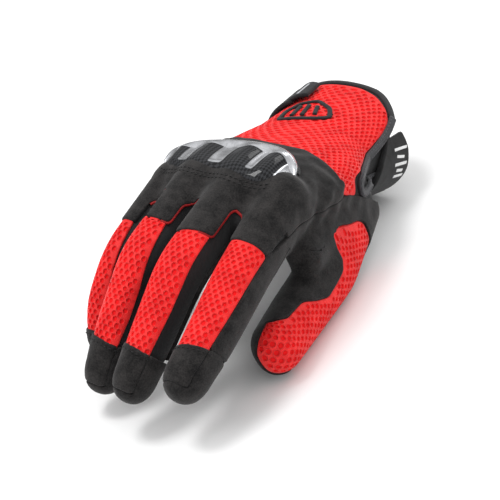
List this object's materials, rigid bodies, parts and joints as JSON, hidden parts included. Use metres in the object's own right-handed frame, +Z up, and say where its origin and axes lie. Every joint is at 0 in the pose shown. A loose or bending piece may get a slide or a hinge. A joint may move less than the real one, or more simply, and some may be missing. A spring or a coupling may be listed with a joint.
{
  "type": "riding glove",
  "caption": "Right-hand motorcycle riding glove: curved fingers, air-mesh back, suede palm, hard knuckle guard, bound cuff and hook-and-loop wrist strap.",
  "frame": {"origin": "centre of the bounding box's base, on the surface the glove rests on", "axes": "+Z up out of the back of the hand, -Y to the fingertips, +Y out of the cuff, +X to the thumb side"},
  "size_m": [0.104, 0.2266, 0.0784],
  "materials": {
    "red_mesh": "open air mesh",
    "black_suede": "matt suede",
    "black_knit": "stretch knit",
    "binding": "woven binding",
    "foam": "padded",
    "guard_shell": "glossy carbon look",
    "rubber": "soft rubber",
    "strap": "woven strap",
    "hook_and_loop": "hook and loop"
  },
  "bodies": {
    "hand": {"back_panel": "black_suede", "radial_gusset": "black_suede", "ulnar_gusset": "black_suede", "palm_panel": "black_suede", "palm_heel_pad": "foam", "cuff_back_mesh": "red_mesh", "cuff_palm_panel": "black_knit", "cuff_binding": "binding", "slit_binding": "binding", "slit_gusset": "black_knit", "knuckle_foam": "foam", "knuckle_guard": "guard_shell", "cuff_badge": "rubber", "strap_anchor": "strap", "strap_loop_patch": "hook_and_loop"},
    "index_near": {"index_knuckle_tongue": "black_suede", "index_mesh_near": "red_mesh", "index_sleeve_near": "black_suede"},
    "index_mid": {"index_mesh_mid": "red_mesh", "index_sleeve_mid": "black_suede"},
    "index_tip": {"index_cap_back": "black_suede", "index_cap_front": "black_suede"},
    "middle_near": {"middle_knuckle_tongue": "black_suede", "middle_mesh_near": "red_mesh", "middle_sleeve_near": "black_suede"},
    "middle_mid": {"middle_mesh_mid": "red_mesh", "middle_sleeve_mid": "black_suede"},
    "middle_tip": {"middle_cap_back": "black_suede", "middle_cap_front": "black_suede"},
    "ring_near": {"ring_knuckle_tongue": "black_suede", "ring_mesh_near": "red_mesh", "ring_sleeve_near": "black_suede"},
    "ring_mid": {"ring_mesh_mid": "red_mesh", "ring_sleeve_mid": "black_suede"},
    "ring_tip": {"ring_cap_back": "black_suede", "ring_cap_front": "black_suede"},
    "pinky_near": {"pinky_knuckle_tongue": "black_suede", "pinky_mesh_near": "red_mesh", "pinky_sleeve_near": "black_suede"},
    "pinky_mid": {"pinky_mesh_mid": "red_mesh", "pinky_sleeve_mid": "black_suede"},
    "pinky_tip": {"pinky_cap_back": "black_suede", "pinky_cap_front": "black_suede"},
    "thumb_base": {"thumb_base_mesh": "red_mesh", "thumb_base_sleeve": "black_suede"},
    "thumb_near": {"thumb_mesh": "red_mesh", "thumb_sleeve": "black_suede"},
    "thumb_tip": {"thumb_cap_back": "red_mesh", "thumb_cap_front": "black_suede"},
    "strap": {"strap_flap": "strap"},
    "strap_tip": {"strap_end": "strap", "strap_hook_patch": "hook_and_loop", "strap_pull_tab": "rubber"}
  },
  "joints": [
    {"name": "index_knuckle_bend", "type": "hinge", "parent": "hand", "child": "index_near", "pos_m": [0.03423, -0.01948, 0.0559], "axis": [0.9806, -0.0259, -0.1944], "range_deg": [-28, 12], "stiffness_Nm_per_rad": 0.12},
    {"name": "index_middle_bend", "type": "hinge", "parent": "index_near", "child": "index_mid", "pos_m": [0.03197, -0.06418, 0.04329], "axis": [0.9806, -0.0259, -0.1944], "range_deg": [-5, 40], "stiffness_Nm_per_rad": 0.06},
    {"name": "index_end_bend", "type": "hinge", "parent": "index_mid", "child": "index_tip", "pos_m": [0.03019, -0.08939, 0.03379], "axis": [0.9806, -0.0259, -0.1944], "range_deg": [-6, 24], "stiffness_Nm_per_rad": 0.04},
    {"name": "middle_knuckle_bend", "type": "hinge", "parent": "hand", "child": "middle_near", "pos_m": [0.01306, -0.01954, 0.05974], "axis": [0.9806, -0.0259, -0.1944], "range_deg": [-24, 30], "stiffness_Nm_per_rad": 0.12},
    {"name": "middle_middle_bend", "type": "hinge", "parent": "middle_near", "child": "middle_mid", "pos_m": [0.01006, -0.06713, 0.05092], "axis": [0.9806, -0.0259, -0.1944], "range_deg": [-22, 48], "stiffness_Nm_per_rad": 0.06},
    {"name": "middle_end_bend", "type": "hinge", "parent": "middle_mid", "child": "middle_tip", "pos_m": [0.00609, -0.09171, 0.03417], "axis": [0.9806, -0.0259, -0.1944], "range_deg": [-14, 28], "stiffness_Nm_per_rad": 0.04},
    {"name": "ring_knuckle_bend", "type": "hinge", "parent": "hand", "child": "ring_near", "pos_m": [-0.00805, -0.01468, 0.06063], "axis": [0.9806, -0.0259, -0.1944], "range_deg": [-26, 30], "stiffness_Nm_per_rad": 0.12},
    {"name": "ring_middle_bend", "type": "hinge", "parent": "ring_near", "child": "ring_mid", "pos_m": [-0.01229, -0.05994, 0.05082], "axis": [0.9806, -0.0259, -0.1944], "range_deg": [-28, 48], "stiffness_Nm_per_rad": 0.06},
    {"name": "ring_end_bend", "type": "hinge", "parent": "ring_mid", "child": "ring_tip", "pos_m": [-0.01723, -0.08186, 0.03095], "axis": [0.9806, -0.0259, -0.1944], "range_deg": [-11, 28], "stiffness_Nm_per_rad": 0.04},
    {"name": "pinky_knuckle_bend", "type": "hinge", "parent": "hand", "child": "pinky_near", "pos_m": [-0.0268, -0.00736, 0.05508], "axis": [0.9806, -0.0259, -0.1944], "range_deg": [-30, 30], "stiffness_Nm_per_rad": 0.12},
    {"name": "pinky_middle_bend", "type": "hinge", "parent": "pinky_near", "child": "pinky_mid", "pos_m": [-0.035, -0.04497, 0.04251], "axis": [0.9806, -0.0259, -0.1944], "range_deg": [-28, 46], "stiffness_Nm_per_rad": 0.06},
    {"name": "pinky_end_bend", "type": "hinge", "parent": "pinky_mid", "child": "pinky_tip", "pos_m": [-0.04023, -0.05964, 0.02491], "axis": [0.9806, -0.0259, -0.1944], "range_deg": [-14, 26], "stiffness_Nm_per_rad": 0.04},
    {"name": "thumb_root_bend", "type": "hinge", "parent": "hand", "child": "thumb_base", "pos_m": [0.03478, 0.04425, 0.01931], "axis": [-0.3148, -0.1676, 0.9343], "range_deg": [-10, 20], "stiffness_Nm_per_rad": 0.15},
    {"name": "thumb_knuckle_bend", "type": "hinge", "parent": "thumb_base", "child": "thumb_near", "pos_m": [0.03906, -0.00106, 0.01262], "axis": [-0.3348, -0.0275, 0.9419], "range_deg": [-18, 12], "stiffness_Nm_per_rad": 0.1},
    {"name": "thumb_end_bend", "type": "hinge", "parent": "thumb_near", "child": "thumb_tip", "pos_m": [0.0398, -0.03704, 0.01184], "axis": [-0.3348, -0.0275, 0.9419], "range_deg": [-26, 5], "stiffness_Nm_per_rad": 0.05},
    {"name": "strap_root_fold", "type": "hinge", "parent": "hand", "child": "strap", "pos_m": [0.0259, 0.08306, 0.00655], "axis": [0.0161, -0.9445, 0.3282], "range_deg": [0, 95]},
    {"name": "strap_side_fold", "type": "hinge", "parent": "strap", "child": "strap_tip", "pos_m": [-0.02562, 0.08417, 0.01585], "axis": [0.1305, -0.9455, 0.2984], "range_deg": [0, 80]}
  ],
  "couplings": [
    {"joint": "index_end_bend", "follows": "index_middle_bend", "ratio": 0.55},
    {"joint": "middle_end_bend", "follows": "middle_middle_bend", "ratio": 0.55},
    {"joint": "ring_end_bend", "follows": "ring_middle_bend", "ratio": 0.38},
    {"joint": "pinky_end_bend", "follows": "pinky_middle_bend", "ratio": 0.48}
  ]
}
